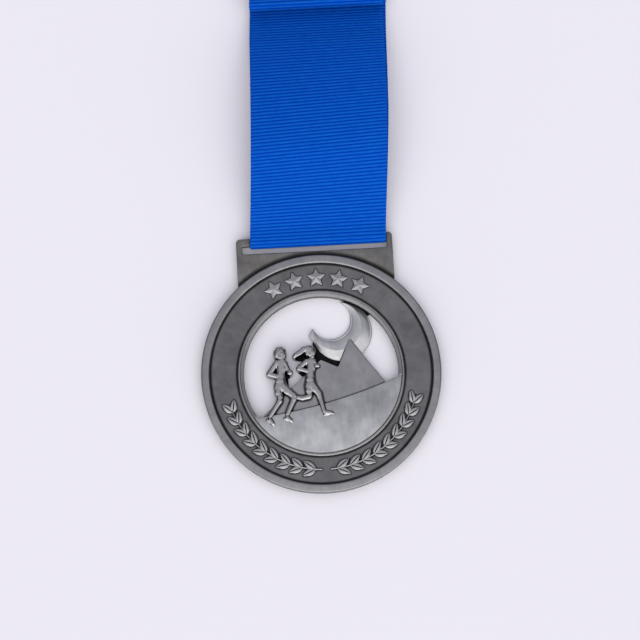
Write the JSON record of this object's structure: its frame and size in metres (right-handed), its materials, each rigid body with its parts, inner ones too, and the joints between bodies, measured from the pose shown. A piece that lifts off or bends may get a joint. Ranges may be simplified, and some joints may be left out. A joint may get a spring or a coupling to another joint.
{
  "type": "finisher medal",
  "caption": "Round openwork sports medal with raised rims, a runners scene in the opening, star and laurel ornament, and a tab bar on a ribbed neck ribbon folded for storage.",
  "frame": {"origin": "centre of the round casting, on its flat back face", "axes": "+Z out of the medal's face, +Y from the medal's centre towards the tab bar and the ribbon, +X to the right when the face is seen with the ribbon at the top"},
  "size_m": [0.07, 0.228, 0.0125],
  "materials": {
    "antique_silver_dark": "die-cast zinc alloy, antique silver plating, darkened and satin brushed",
    "antique_silver": "die-cast zinc alloy, antique silver plating, rubbed bright on raised edges",
    "polished_silver": "die-cast zinc alloy, antique silver plating, polished relief",
    "blue_ribbon": "ribbed polyester grosgrain, low sheen",
    "blue_thread": "polyester sewing thread"
  },
  "bodies": {
    "ribbon": {"ribbon_bight": "blue_ribbon", "ribbon_upper_strap": "blue_ribbon", "ribbon_lower_strap": "blue_ribbon", "ribbon_folded_stack": "blue_ribbon", "seam_stitching": "blue_thread"},
    "medal": {"medal_frame": "antique_silver_dark", "ribbon_bar": "antique_silver_dark", "outer_rim": "antique_silver", "inner_rim": "antique_silver", "hill": "polished_silver", "mountain": "antique_silver", "moon": "antique_silver", "runner_rear": "polished_silver", "runner_front": "polished_silver", "star_1": "antique_silver", "star_2": "antique_silver", "star_3": "antique_silver", "star_4": "antique_silver", "star_5": "antique_silver", "laurel_left": "antique_silver", "laurel_right": "antique_silver"}
  },
  "joints": [
    {"name": "medal_swing", "type": "hinge", "parent": "ribbon", "child": "medal", "pos_m": [0, 0.03977, 0.002], "axis": [-1, 0, 0], "range_deg": [0, 115]}
  ]
}
